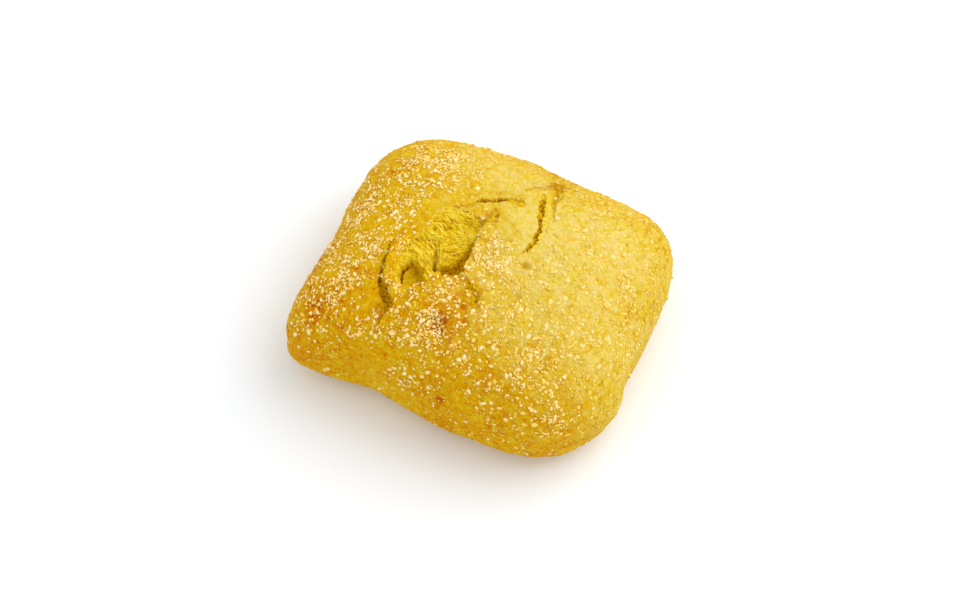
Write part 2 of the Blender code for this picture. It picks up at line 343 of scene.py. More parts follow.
# How dark the plain crust is baked, and where it is darker, or paler below 0: the place, how far, how much.
PLAIN_TOAST = 0.42
TOAST = (
    ((-36.1, -28.8, 29.3), 2.8, 0.40),
    ((-35.6, -32.4, 27.0), 2.4, 0.28),
    ((-31.6, -27.4, 31.4), 1.6, 0.26),
    ((-31.0, -31.4, 29.6), 1.5, 0.20),
    ((-25.0, -31.0, 30.0), 1.4, 0.24),
    ((-29.2, -17.4, 35.4), 1.5, 0.24),
    ((-30.6, -36.0, 22.0), 1.8, 0.20),
    ((-40.0, -26.0, 27.0), 6.0, 0.14),
    ((-43.4, -16.0, 25.0), 5.0, 0.26),
    ((-41.4, -8.0, 28.0), 4.0, 0.16),
    ((-30.5, -25.0, 33.0), 9.0, 0.08),
    ((-38.0, -36.0, 18.0), 8.0, 0.14),
    ((-2.4, -24.8, 37.0), 2.4, 0.66),
    ((-15.4, -19.2, 38.3), 2.2, -0.34),
    ((13.8, -30.6, 32.5), 3.4, 0.20),
    ((4.0, -37.6, 22.6), 2.2, 0.25),
    ((9.2, 27.6, 34.8), 2.6, 0.50),
    ((10.4, 23.0, 36.4), 1.8, 0.40),
    ((-3.2, 17.8, 38.9), 1.4, 0.34),
    ((2.8, 17.2, 39.4), 2.0, 0.34),
    ((-1.1, 9.4, 40.6), 2.0, 0.85),
    ((12.5, -1.3, 40.8), 0.9, 0.60),
    ((45.0, 12.0, 20.0), 12.0, 0.10),
    ((8.0, 38.0, 26.0), 11.0, 0.36),
    ((34.0, 34.0, 22.0), 10.0, 0.16),
    ((3.0, -21.0, 38.0), 7.0, 0.22),
    ((3.0, -14.0, 39.6), 2.2, 0.42),
    ((10.6, 24.4, 36.2), 1.6, 0.30),
    ((11.4, 20.0, 37.6), 1.2, 0.30),
    ((42.0, 4.0, 26.0), 9.0, 0.08),
    ((46.0, -7.0, 12.0), 3.2, 0.34),
    ((-35.0, 15.4, 33.3), 1.6, 0.34),
    ((-20.0, -34.0, 24.0), 12.0, 0.08),
    ((10.0, -38.0, 18.0), 16.0, 0.13),
    ((36.0, -36.0, 14.0), 14.0, 0.12),
    ((-8.0, -20.0, 38.0), 9.0, 0.12),
    ((24.0, 8.0, 38.0), 20.0, -0.20),
    ((6.0, 11.0, 38.0), 8.0, -0.10),
    ((-4.0, 27.0, 34.0), 12.0, -0.10),
    ((-20.0, 22.0, 34.0), 12.0, -0.05),
)

# The spots' mottling: its size and its strength.
TOAST_MOTTLE, TOAST_MOTTLING = 1.4, 0.9
# How much darker the sharp lip is and how far from it, how much cut makes a darker crack edge, and how many
# times as dark as the lip a crack's edge is, partly by darker bake and partly by painted shade in the crack.
LIP_TOAST, LIP_TOAST_REACH = 0.18, 0.9
CRACK_DARKENING_CUT, CRACK_TOAST_AND_SHADE = (0.03, 0.3), 1.8

# Where grits lie: the place, how far, and how thick. Below 0 the crust there stays bare.
GRIT_FIELDS = (
    ((-33.0, -16.0, 34.0), 12.0, 1.00),
    ((-33.0, -31.0, 29.0), 8.0, 0.80),
    ((-34.0, 2.0, 34.0), 10.0, 0.94),
    ((-27.0, 18.0, 35.0), 11.0, 0.92),
    ((-16.0, 22.0, 36.0), 6.0, 0.50),
    ((-16.0, 30.0, 31.0), 9.0, 0.65),
    ((-12.0, -23.0, 37.0), 7.0, 0.95),
    ((-3.0, -22.0, 37.5), 7.0, 0.90),
    ((4.0, -12.0, 40.0), 6.0, 0.90),
    ((6.5, -16.5, 39.5), 3.5, -0.55),
    ((2.0, -1.0, 41.0), 4.5, 2.15),
    ((8.0, -6.0, 41.0), 4.0, 1.60),
    ((-4.0, -31.0, 33.0), 7.0, 0.70),
    ((10.0, -22.0, 37.0), 9.0, 0.34),
    ((22.0, -32.0, 29.0), 12.0, 0.42),
    ((8.0, -35.0, 27.0), 5.0, -0.25),
    ((-18.0, 31.0, 32.0), 7.0, 0.60),
    ((-6.0, -37.0, 20.0), 7.0, 0.25),
    ((-24.0, -35.5, 22.0), 6.0, -0.35),
    ((-22.0, -21.6, 36.0), 3.0, -0.50),
    ((-15.6, -19.6, 38.3), 1.6, -1.60),
    ((30.0, 18.0, 35.0), 15.0, 0.38),
    ((30.0, -14.0, 34.0), 14.0, 0.36),
    ((38.0, 0.0, 30.0), 10.0, 0.10),
    ((-18.8, 6.8, 39.0), 4.0, -0.35),
    ((-5.0, 24.0, 36.0), 8.0, -0.60),
    ((19.0, 9.0, 39.8), 5.0, -0.25),
    ((-21.0, -24.5, 35.0), 3.2, -0.55),
    ((-17.0, -36.0, 24.0), 4.0, -0.15),
)
# How thick they lie everywhere, the heights over which the fields fade in, how thick they lie along the
# sharp lip and, as a share of that, along the crevice's rim, and how far from each.
GRIT_FLOOR = 0.03
GRIT_HEIGHTS = (8.0, 26.0)
LIP_GRITS, LIP_GRIT_REACH = 0.9, 1.5
RIM_GRITS, RIM_GRIT_REACH = 0.4, 0.9

# The coarse grits: their number and radii, how much commoner small ones are, the chips that they copy, and
# how each is stretched, sunk, leaned and shifted.
GRIT_COUNT = 5300
GRIT_RADII, GRIT_SKEW = (0.24, 0.72), 1.5
GRIT_SHAPES, CHIP_CORNERS = 9, (0.64, 1.24)
GRIT_LENGTHS, GRIT_WIDTHS, GRIT_FLATNESS = (0.95, 1.5), (0.68, 1.05), (0.36, 0.62)
GRIT_SINK, GRIT_LEAN, GRIT_SHIFT = -0.16, 0.16, 0.12
# How near two grits may be, as a share of their radii, and the cells in which near ones are looked for.
GRIT_CLOSENESS, GRIT_CELL = 0.52, 1.5
PICKS_PER_GRIT = 5

# How grits gather by chance. Each noise has its size, where in space it is read, where it starts and ends,
# and its share, or for patches the least that they leave.
HEAP_SIZE, HEAP_SHIFT, HEAP_EDGE, HEAP_SHARE = 3.0, 17.0, (0.0, 0.45), 1.1
STRING_SIZE, STRING_SHIFT, STRING_EDGE, STRING_SHARE = 5.0, -9.0, (0.03, 0.16), 0.8
PATCH_SIZE, PATCH_SHIFT, PATCH_EDGE, PATCH_LEAST = 9.0, 63.0, (-0.15, 0.25), 0.4
LONE_SHARE = 0.14

# The grits that the dough half covers: most on the right.
SUNKEN_COUNT = 1600
SUNKEN_RADII, SUNKEN_FLATNESS, SUNKEN_SINK = (0.25, 0.65), (0.35, 0.60), -0.12
SUNKEN_SIDE, SUNKEN_LEFT, SUNKEN_LOW, SUNKEN_SHIFT = (-6.0, 14.0), 0.3, 0.1, 40.0

# Painted shade deepens the grits' tone towards the right and the back, where the lamp lights them most:
# where that starts and ends, and how much.
GRIT_SHADE_RIGHT, GRIT_SHADE_RIGHT_SHARE = (-5.0, 30.0), 0.3
GRIT_SHADE_BACK, GRIT_SHADE_BACK_SHARE = (18.0, 36.0), 0.5

# Where no grit lies: the smooth lobe, crumb above this share, and the crust below this height.
LOBE, LOBE_REACH = (4.6, 10.6), 7.0
BARE_CRUMB, BARE_FOOT = 0.25, 2.0

# The darker crust round each grit, partly darker bake and partly painted shade: how far it reaches, and the
# most that several grits add up to.
GRIT_TOAST_AND_SHADE_REACH, GRIT_TOAST_AND_SHADE_MOST = 0.90, 1.5

# Guides that the threads of torn crumb follow, seen from above. A sheet of threads lies between its guides.
FAN = (
    ((-20.0, -11.2), (-18.4, -9.6), (-16.4, -8.6), (-14.3, -9.1), (-12.1, -10.2)),
    ((-19.8, -7.9), (-17.6, -7.5), (-15.1, -7.9), (-13.0, -8.8), (-11.5, -10.1)),
    ((-20.0, -4.8), (-17.0, -5.5), (-14.2, -6.7), (-12.2, -8.0), (-11.3, -9.3)),
    ((-18.8, -3.6), (-15.9, -4.3), (-13.4, -5.2), (-11.6, -6.7), (-11.1, -7.8)),
    ((-16.4, -2.4), (-14.5, -2.7), (-13.0, -3.6), (-11.9, -5.0), (-11.3, -6.1)),
)
BUNDLE = (
    ((-15.5, -9.5), (-13.7, -11.2), (-11.7, -12.5), (-10.6, -14.4)),
    ((-14.2, -9.0), (-12.5, -10.3), (-10.6, -11.8), (-9.8, -13.8)),
)
LEFT_LEG = (
    ((-18.9, -4.2), (-19.2, -6.7), (-18.9, -9.0)),
    ((-19.9, -4.4), (-20.1, -7.6), (-19.9, -10.6)),
    ((-20.8, -5.8), (-21.0, -9.0), (-21.0, -12.0)),
)
UPPER_CRUMB = (
    ((-20.2, -1.8), (-16.4, -2.3), (-12.8, -2.7), (-10.2, -3.2), (-8.8, -3.9)),
    ((-19.2, 1.2), (-15.4, 0.5), (-11.2, -0.3), (-8.3, -1.1), (-6.0, -2.3)),
    ((-18.0, 3.7), (-14.0, 3.3), (-9.9, 2.6), (-6.7, 1.4), (-4.9, 0.5)),
    ((-16.2, 6.0), (-12.7, 6.3), (-9.4, 6.0), (-6.7, 5.3), (-4.9, 4.6)),
    ((-13.4, 7.4), (-10.9, 7.6), (-8.4, 7.4), (-6.4, 7.0), (-5.0, 6.4)),
)
HAMMOCKS = (
    ((-11.0, -3.5), (-9.1, -2.5), (-7.2, -1.6), (-4.8, 0.9)),
    ((-10.4, -4.8), (-8.9, -3.6), (-7.1, -2.5), (-5.2, -0.7)),
    ((-9.8, -6.1), (-8.6, -5.0), (-6.8, -3.9), (-5.1, -2.3)),
)
WALL_STRANDS = (
    ((-11.7, -2.6), (-10.6, -4.3), (-9.9, -6.2), (-9.8, -8.7)),
    ((-10.9, -2.4), (-10.1, -4.2), (-9.5, -5.9), (-9.0, -7.6)),
)
# Each sheet with its number of threads, and the least and the greatest share of a guide that one follows.
SHEETS = (
    (FAN[:2], 22, 0.4, 0.9),
    (BUNDLE, 20, 0.5, 1.0),
    (FAN, 64, 0.3, 0.8),
    (LEFT_LEG, 24, 0.3, 0.7),
    (UPPER_CRUMB, 150, 0.10, 0.36),
    (HAMMOCKS, 26, 0.3, 0.7),
    (WALL_STRANDS, 14, 0.3, 0.7),
)
# How far a thread drifts between its guides, the length of its steps, and how far and how often it wanders.
THREAD_DRIFT = 0.5
THREAD_STEP, THREAD_FEWEST = 0.36, 5
THREAD_WANDER, THREAD_TURNS, THREAD_PHASES = 0.45, (2.0, 6.0), (0.0, 6.3)
# A thread's radii, its ends' share of them, its rise, and the steps over which its bed is evened.
THREAD_RADII, THREAD_END = (0.13, 0.33), 0.45
THREAD_RISE, THREAD_EASE = (0.6, 1.6), 5
THREAD_SHADES = (0.36, 0.58, 0.80, 1.0)
# From where its bed is looked for, and how near the corners that are welded lie.
ABOVE_ALL = 60.0
WELD = 0.001

# The photograph's camera, and how many of the frame's pixels off the middle it puts the roll.
CAMERA_AZIMUTH, CAMERA_ELEVATION = math.radians(24.0), math.radians(60.0)
CAMERA_DISTANCE, CAMERA_LENS = 0.62, 85.0
CAMERA_AIM = Vector((0.0, -0.0018, 0.018))
FRAME_WIDTH = 960
CAMERA_SHIFT = (-4.0 / FRAME_WIDTH, -6.5 / FRAME_WIDTH)

FLOOR_SIZE = 4.0
FLOOR_COLOR = (0.95, 0.975, 1.0, 1.0)
SKY_COLOR, SKY_STRENGTH = (1.0, 1.0, 1.0, 1.0), 0.84
KEY_PLACE, KEY_AIM = Vector((0.50, 0.56, 0.86)), Vector((0.0, 0.0, 0.02))
KEY_SIZE, KEY_POWER = 1.1, 7.4


def look_towards(thing, place, target):
    thing.location = place
    thing.rotation_euler = (target - place).to_track_quat("-Z", "Y").to_euler()
    bpy.context.scene.collection.objects.link(thing)


def set_camera():
    camera = bpy.data.objects.new("camera", bpy.data.cameras.new("camera"))
    camera.data.lens = CAMERA_LENS
    camera.data.shift_x, camera.data.shift_y = CAMERA_SHIFT
    flat, high = math.cos(CAMERA_ELEVATION), math.sin(CAMERA_ELEVATION)
    back = Vector((math.sin(CAMERA_AZIMUTH) * flat, -math.cos(CAMERA_AZIMUTH) * flat, high))
    look_towards(camera, CAMERA_AIM + back * CAMERA_DISTANCE, CAMERA_AIM)
    bpy.context.scene.camera = camera


def set_studio():
    """A white floor under an even white sky, with one broad soft lamp behind the roll on its right."""
    scene = bpy.context.scene
    scene.view_settings.view_transform = "Standard"
    world = bpy.data.worlds.new("studio")
    world.use_nodes = True
    sky = world.node_tree.nodes["Background"].inputs
    sky["Color"].default_value = SKY_COLOR
    sky["Strength"].default_value = SKY_STRENGTH
    scene.world = world
    key = bpy.data.objects.new("key", bpy.data.lights.new("key", "AREA"))
    key.data.size = KEY_SIZE
    key.data.energy = KEY_POWER
    look_towards(key, KEY_PLACE, KEY_AIM)
    bm = bmesh.new()
    bmesh.ops.create_grid(bm, x_segments=1, y_segments=1, size=FLOOR_SIZE / 2)
    floor = new_piece("floor", bm, floor_look())


def new_piece(name, bm, material):
    mesh = bpy.data.meshes.new(name)
    bm.to_mesh(mesh)
    bm.free()
    mesh.materials.append(material)
    piece = bpy.data.objects.new(name, mesh)
    bpy.context.scene.collection.objects.link(piece)
    return piece


class Value:
    """A number that changes over a surface. An expression on it adds the Math nodes that work it out."""

    def __init__(self, look, socket):
        self.look, self.socket = look, socket

    def math(self, operation, *values):
        return self.look.value("Math", {"operation": operation}, dict(enumerate(values)))

    def __add__(self, other):
        return self.math("ADD", self, other)

    def __radd__(self, other):
        return self.math("ADD", other, self)

    def __sub__(self, other):
        return self.math("SUBTRACT", self, other)

    def __rsub__(self, other):
        return self.math("SUBTRACT", other, self)

    def __mul__(self, other):
        return self.math("MULTIPLY", self, other)

    def __rmul__(self, other):
        return self.math("MULTIPLY", other, self)

    def between(self, low, high):
        """0 up to low, 1 from high on, and a smooth rise between them."""
        settings = {"interpolation_type": "SMOOTHSTEP", "clamp": True}
        return self.look.value("MapRange", settings, {"Value": self, "From Min": low, "From Max": high})


class Look:
    """One material with its Principled shader, and the nodes that feed it."""

    def __init__(self, name, **constants):
        self.material = bpy.data.materials.new(name)
        self.material.use_nodes = True
        self.tree = self.material.node_tree
        self.shader = self.tree.nodes["Principled BSDF"]
        for socket, number in constants.items():
            self.feed(self.shader.inputs[socket.replace("_", " ")], number)
        self.place = self.node("TexCoord").outputs["Object"]

    def feed(self, socket, given):
        given = getattr(given, "socket", given)
        if isinstance(given, bpy.types.NodeSocket):
            self.tree.links.new(given, socket)
        else:
            socket.default_value = given

    def node(self, kind, settings=None, inputs=None):
        made = self.tree.nodes.new("ShaderNode" + kind)
        for name, setting in (settings or {}).items():
            if name == "stops":
                self.set_stops(made.color_ramp.elements, setting)
            else:
                setattr(made, name, setting)
        for name, given in (inputs or {}).items():
            self.feed(made.inputs[name], given)
        return made

    @staticmethod
    def set_stops(elements, stops):
        while len(elements) < len(stops):
            elements.new(1.0)
        for element, (position, color) in zip(elements, stops):
            element.position, element.color = position, (*color, 1.0)

    def value(self, kind, settings=None, inputs=None, output=0):
        return Value(self, self.node(kind, settings, inputs).outputs[output])

    def grain(self, size, place=None):
        """The inputs of a pattern whose features are about this many millimetres across."""
        return {"Vector": place or self.place, "Scale": 1.0 / (size * MM)}

    def noise(self, size, detail=2.0, roughness=0.5):
        """Noise from 0 to 1."""
        return self.value("TexNoise", None, {**self.grain(size), "Detail": detail, "Roughness": roughness})

    def cells(self, size, place=None):
        """How far each point is from the middle of its cell."""
        return self.value("TexVoronoi", None, self.grain(size, place))

    def warped(self, size, way):
        """The place, shifted by up to this many millimetres in swirls of this size."""
        swirl = self.node("TexNoise", None, self.grain(size)).outputs["Color"]
        inputs = {0: swirl, 1: (way * MM,) * 3, 2: self.place}
        return self.node("VectorMath", {"operation": "MULTIPLY_ADD"}, inputs).outputs[0]

    def painted(self, name):
        """What the piece's own attribute of this name holds."""
        return self.value("Attribute", {"attribute_name": name}, output="Fac")

    def ramp(self, value, stops):
        return self.node("ValToRGB", {"stops": stops}, {"Fac": value}).outputs["Color"]

    def mix(self, share, first, second):
        return self.node("Mix", {"data_type": "RGBA"}, {0: share, 6: first, 7: second}).outputs[2]

    def bump(self, height, distance, strength):
        inputs = {"Height": height, "Distance": distance * MM, "Strength": strength}
        return self.node("Bump", None, inputs).outputs["Normal"]

    def finish(self, **links):
        for socket, given in links.items():
            self.feed(self.shader.inputs[socket.replace("_", " ")], given)
        return self.material


def floor_look():
    look = Look("white_floor", Roughness=0.9, Specular_IOR_Level=0.1)
    return look.finish(Base_Color=FLOOR_COLOR)


# The crust's colours from pale gold through amber to scorched, plain and floury, in linear light.
GOLD_STOPS = (
    (0.00, (0.81, 0.61, 0.07)),
    (0.28, (0.77, 0.51, 0.012)),
    (0.50, (0.72, 0.40, 0.002)),
    (0.66, (0.67, 0.31, 0.001)),
    (0.80, (0.64, 0.22, 0.001)),
    (0.90, (0.59, 0.14, 0.001)),
    (1.00, (0.42, 0.09, 0.001)),
)
FLOURY_STOPS = (
    (0.00, (0.80, 0.62, 0.18)),
    (0.30, (0.75, 0.555, 0.075)),
    (0.50, (0.71, 0.505, 0.042)),
    (0.70, (0.68, 0.445, 0.014)),
    (1.00, (0.50, 0.26, 0.002)),
)
# The crumb's colours, from dark brown, reached mostly in its painted shade, up to clear yellow.
CRUMB_STOPS = (
    (0.00, (0.20, 0.065, 0.001)),
    (0.12, (0.40, 0.16, 0.001)),
    (0.38, (0.72, 0.42, 0.001)),
    (0.65, (0.85, 0.60, 0.008)),
    (1.00, (0.94, 0.75, 0.08)),
)
GRIT_STOPS = (
    (0.0, (0.90, 0.55, 0.06)),
    (0.4, (0.96, 0.69, 0.19)),
    (1.0, (0.98, 0.82, 0.45)),
)
SUNKEN_STOPS = (
    (0.0, (0.74, 0.52, 0.05)),
    (0.5, (0.80, 0.60, 0.12)),
    (1.0, (0.86, 0.68, 0.22)),
)
FLOUR_COLOR = (0.85, 0.64, 0.22, 1.0)
# The dark brown painted into pinholes as the shade in them.
PINHOLE_SHADE_COLOR = (0.50, 0.25, 0.002, 1.0)
# The colour of the painted shade, with some darker bake, in the crust between close grits.
GRIT_TOAST_AND_SHADE_COLOR = (0.44, 0.22, 0.002, 1.0)
TIN_COLOR = (0.50, 0.27, 0.05, 1.0)

# The noises of the crust and the crumb: size in millimetres, detail and roughness.
BROAD, MIDDLE, FINE = (11.0, 3.0), (2.4, 4.0, 0.62), (0.8, 3.0, 0.65)
PATCHES, FLOUR_PATCHES, FLOUR_GRAINS, BLOOMS = (3.4, 2.0), (6.0, 3.0), (0.8, 3.0, 0.6), (7.0, 3.0)
HOLE_PATCHES, TIN_MARKS, STRANDS, WRINKLES = (3.1, 2.0), (6.0, 4.0), (0.75, 4.0, 0.7), (0.9, 5.0, 0.65)

# The crust's pebbles and pinholes, and the swirls that make the pebbles uneven: their size and reach.
PEBBLE_SIZE, PEBBLE_SWIRLS, HOLE_SIZE = 1.3, (1.6, 2.2), 1.2

# How strongly each thing darkens the bake, or for pebbles lightens it, how much less so on pale crust, and
# how much stronger the floury crust's contrast and grain are.
BROAD_BAKE, MIDDLE_BAKE, FINE_BAKE, GAP_BAKE = 0.40, 0.80, 1.0, 0.12
GRIT_TOAST_AND_SHADE_BAKE, PALE_GRIT_TOAST_AND_SHADE_BAKE, PEBBLE_BAKE, PALE_PEBBLE_BAKE = 0.10, 0.06, 0.22, 0.12
FLOURY_CONTRAST, FLOURY_GRAIN = 1.4, 0.14

# How much of its own colour each thing mixes into the crust, and what paleness takes from that or adds.
GRIT_TOAST_AND_SHADE_SHARE, PALE_GRIT_TOAST_AND_SHADE_SHARE, PINHOLE_SHADE_SHARE, BLOOM_SHARE, TIN_FLOUR = 0.62, 0.34, 0.4, 0.35, 0.75
DUST_SHARE, PALE_DUST_SHARE, BARE_DUST_LOSS = 0.01, 0.45, 0.6

# The crumb's tone on its colours, how far its strands vary it, how much less so in the cave, and how
# strongly its painted shade darkens it.
CRUMB_TONE, CRUMB_CONTRAST, CAVE_CALM, CRUMB_SHADING = 0.67, 2.6, 1.1, 0.55

# Heights in the crust's bump beside its wrinkles, and each bump's height in millimetres and its strength.
PEBBLE_HEIGHT, HOLE_HEIGHT = 0.6, 0.4
CRUST_BUMP, GRIT_BUMP = (0.40, 0.8), (0.1, 0.4)


def crust_look():
    """Matt crust, mottled gold to amber, with the torn crumb's brighter yellow in the split."""
    look = Look("crust", Specular_IOR_Level=0.02)
    toast, crumb, bare, foot, moat, pale, deep, cave = (
        look.painted(name) for name in ("toast", "crumb", "bare", "foot", "moat", "pale", "deep", "cave")
    )

    # The mottling, and pebbles of paler skin with darker gaps between them.
    broad, middle, fine = look.noise(*BROAD), look.noise(*MIDDLE), look.noise(*FINE)
    uneven = (broad - 0.5) * BROAD_BAKE + (middle - 0.5) * MIDDLE_BAKE + (fine - 0.5) * FINE_BAKE
    patches = look.noise(*PATCHES).between(0.40, 0.60)
    cell = look.cells(PEBBLE_SIZE, look.warped(*PEBBLE_SWIRLS))
    pebbles = cell.between(0.55, 0.20) * patches * (1 - bare)
    gaps = cell.between(0.45, 0.75) * (1 - bare)

    # How dark it is baked, with more contrast where it is floury, and darker between close grits, partly by
    # painted shade.
    baked = toast + moat * (GRIT_TOAST_AND_SHADE_BAKE - pale * PALE_GRIT_TOAST_AND_SHADE_BAKE) + uneven + gaps * GAP_BAKE
    baked = baked - pebbles * (PEBBLE_BAKE - pale * PALE_PEBBLE_BAKE)
    browned = (baked - PLAIN_TOAST) * FLOURY_CONTRAST + PLAIN_TOAST
    browned = browned + gaps * FLOURY_GRAIN - pebbles * FLOURY_GRAIN
    floury = pale * (look.noise(*FLOUR_PATCHES).between(0.25, 0.55) * 0.5 + 0.5)
    crust = look.mix(floury, look.ramp(baked, GOLD_STOPS), look.ramp(browned, FLOURY_STOPS))
    # Painted shade, with some darker bake, mixed into the crust between close grits.
    crust = look.mix(moat * (GRIT_TOAST_AND_SHADE_SHARE - pale * PALE_GRIT_TOAST_AND_SHADE_SHARE), crust, GRIT_TOAST_AND_SHADE_COLOR)

    # Flour in fine grains and in broad blooms, pinholes darkened with painted shade, and the foot that stood
    # on the tin.
    grains = look.noise(*FLOUR_GRAINS).between(0.50, 0.60) * patches
    dust = grains * (DUST_SHARE + pale * PALE_DUST_SHARE) * (1 - bare * BARE_DUST_LOSS)
    crust = look.mix(dust, crust, FLOUR_COLOR)
    bloom = look.noise(*BLOOMS).between(0.50, 0.72) * pale
    crust = look.mix(bloom * BLOOM_SHARE, crust, FLOUR_COLOR)
    holes = look.cells(HOLE_SIZE).between(0.26, 0.10) * look.noise(*HOLE_PATCHES).between(0.46, 0.62)
    crust = look.mix(holes * PINHOLE_SHADE_SHARE, crust, PINHOLE_SHADE_COLOR)
    bottom = look.mix(look.noise(*TIN_MARKS).between(0.35, 0.7) * TIN_FLOUR, TIN_COLOR, FLOUR_COLOR)
    crust = look.mix(foot, crust, bottom)

    # The crumb, brown with painted shade in its depths and cracks, with calmer colours on the cave's floor.
    strands = look.noise(*STRANDS)
    tone = CRUMB_TONE + (strands - 0.5) * (CRUMB_CONTRAST - cave * CAVE_CALM) - deep * CRUMB_SHADING
    inner = look.ramp(tone, CRUMB_STOPS)
    height = look.noise(*WRINKLES) + strands * crumb + pebbles * PEBBLE_HEIGHT - holes * HOLE_HEIGHT
    return look.finish(
        Base_Color=look.mix(crumb, crust, inner),
        Roughness=0.62 + (middle - 0.5) * 0.2,
        Normal=look.bump(height, *CRUST_BUMP),
    )


def grit_look(name, stops):
    """Dry cream grits, each of its own tone."""
    look = Look(name, Specular_IOR_Level=0.05)
    tone = look.painted("tone") + (look.noise(0.5, 2.0) - 0.5) * 0.5
    return look.finish(
        Base_Color=look.ramp(tone, stops),
        Roughness=0.5 + (look.noise(0.4) - 0.5) * 0.3,
        Normal=look.bump(look.noise(0.3, 3.0), *GRIT_BUMP),
    )


def thread_look(shade):
    """Soft moist threads of crumb of one shade, from shaded yellow to clear yellow."""
    look = Look("threads", Specular_IOR_Level=0.05)
    tone = shade + (look.noise(1.4, 3.0) - 0.5) * 1.1
    return look.finish(Base_Color=look.ramp(tone, CRUMB_STOPS), Roughness=0.55 + (tone - 0.5) * 0.2)


def bell(distance, reach):
    """1 in the middle, and softly down to 0 past this reach."""
    return np.exp(-((distance / reach) ** 2))


def smoothstep(low, high, value):
    """0 up to low, 1 from high on, and a smooth rise between them."""
    t = np.clip((value - low) / (high - low), 0.0, 1.0)
    return t * t * (3 - 2 * t)


def lumps(points, size):
    """Smooth noise from -1 to 1 at each point, with lumps of about this size."""
    return np.array([noise.noise(place) for place in (points / size).tolist()])


def fields(points, rows, start=0.0):
    """The sum of soft spots, each a place, how far it reaches and how strong it is."""
    spots = (strength * bell(np.linalg.norm(points - at, axis=1), reach) for at, reach, strength in rows)
    return sum(spots, start)


def pillow(cube):
    """Where points of the cube from -1 to 1 lie on the plain risen roll, which stands on a flat foot."""
    x, y, z = cube.T
    left, right = np.where(y < 0, FRONT_LEFT, BACK_LEFT), np.where(y < 0, FRONT_RIGHT, BACK_RIGHT)
    corner = np.where(x < 0, left, right)
    up, wide = np.maximum(z, 0), np.maximum(abs(x), abs(y))
    power = corner + (CROWN_POWER - corner) * smoothstep(*CROWN_BLEND, up / (up + wide))
    profile = np.where(z >= 0, CROWN_PROFILE, FOOT_PROFILE)
    reach = np.where(z >= 0, HEIGHT - BELLY_HEIGHT, BELLY_HEIGHT * FOOT_REACH)
    plan = (abs(x) ** power + abs(y) ** power) ** (1 / power)
    size = (plan**profile + abs(z) ** profile) ** (-1 / profile)
    high = np.maximum(BELLY_HEIGHT + z * size * reach, 0.0)
    return np.stack([x * size * LENGTH / 2, y * size * WIDTH / 2, high], axis=1)


def nearest(places, line):
    """For each place: how far the line is, how many points along it, and where it is nearest."""
    gap, along, there = np.full(len(places), np.inf), np.zeros(len(places)), np.zeros_like(places)
    for step, (start, end) in enumerate(zip(line, line[1:])):
        start, way = np.array(start[:2]), np.array(end[:2]) - start[:2]
        share = np.clip((places - start) @ way / (way @ way), 0.0, 1.0)
        point = start + share[:, None] * way
        away = np.linalg.norm(places - point, axis=1)
        closer = away < gap
        gap, along = np.where(closer, away, gap), np.where(closer, step + share, along)
        there = np.where(closer[:, None], point, there)
    return gap, along, there


def trough(places, line, steep=False):
    """How deep a line of troughs is at each place, with sides as soft as a bell's or steep ones."""
    gap, along, _ = nearest(places, line)
    steps = range(len(line))
    width, depth = (np.interp(along, steps, [point[k] for point in line]) for k in (2, 3))
    return depth * (1 - smoothstep(*STEEP_SIDE, gap / width) if steep else bell(gap, width))


def inside(places, outline):
    """Whether each place is in the outline, by how many of its sides lie to the right."""
    x, y = places.T
    crossings = np.zeros(len(places), int)
    for (ax, ay), (bx, by) in zip(outline, outline[1:] + outline[:1]):
        if ay != by:
            crossings += ((ay > y) != (by > y)) & (x < ax + (bx - ax) * (y - ay) / (by - ay))
    return crossings % 2 == 1


def in_cave(places):
    """1 on the cave's floor, 0 outside it, and a steep rise between them."""
    return smoothstep(0.0, CAVE_WALL, nearest(places, CAVE + CAVE[:1])[0]) * inside(places, CAVE)


def split_cut(places):
    """How deep the split is, and how far its wall is pushed in under the sharp lip."""
    soft_gap, _, _ = nearest(places, SOFT_LIP)
    sharp_gap, _, lip = nearest(places, SHARP_LIP)
    opened = inside(places, SPLIT_OUTLINE)
    across = soft_gap / (soft_gap + sharp_gap + TINY)
    slope = fields(places, HOLLOWS, SPLIT_DEPTH)
    pockets = sum(trough(places, line, steep=True) for line in (RIGHT_POCKET, VALLEY_IN_CRUMB, CRUMB_STEP))
    pockets += trough(places, SEPTUM) + trough(places, ARCH)
    pockets += CAVE_DEPTH * in_cave(places)
    depth = slope * smoothstep(0.0, SLOPE_EASE, across) + pockets * smoothstep(0.0, POCKET_EASE, across)
    wall = smoothstep(0.0, LIP_WALL, sharp_gap)
    way = (lip - places) / (sharp_gap[:, None] + TINY)
    under = way * (UNDERCUT * wall * bell(sharp_gap, UNDERCUT_REACH) * opened)[:, None]
    return depth * wall * opened, under


def swollen(points):
    """The roll's skin with its swells and lumps, but no cracks."""
    moved = points.copy()
    for at, reach, push in SWELLS:
        moved += bell(np.linalg.norm(points - at, axis=1), reach)[:, None] * push
    out = points - (0.0, 0.0, BELLY_HEIGHT)
    out /= np.linalg.norm(out, axis=1)[:, None]
    for size, height in LUMPS:
        moved += out * (lumps(points, size) * height)[:, None]
    foot = smoothstep(0.0, FOOT_EASE, points[:, 2])
    moved[:, 2] = points[:, 2] + (moved[:, 2] - points[:, 2]) * foot
    return moved


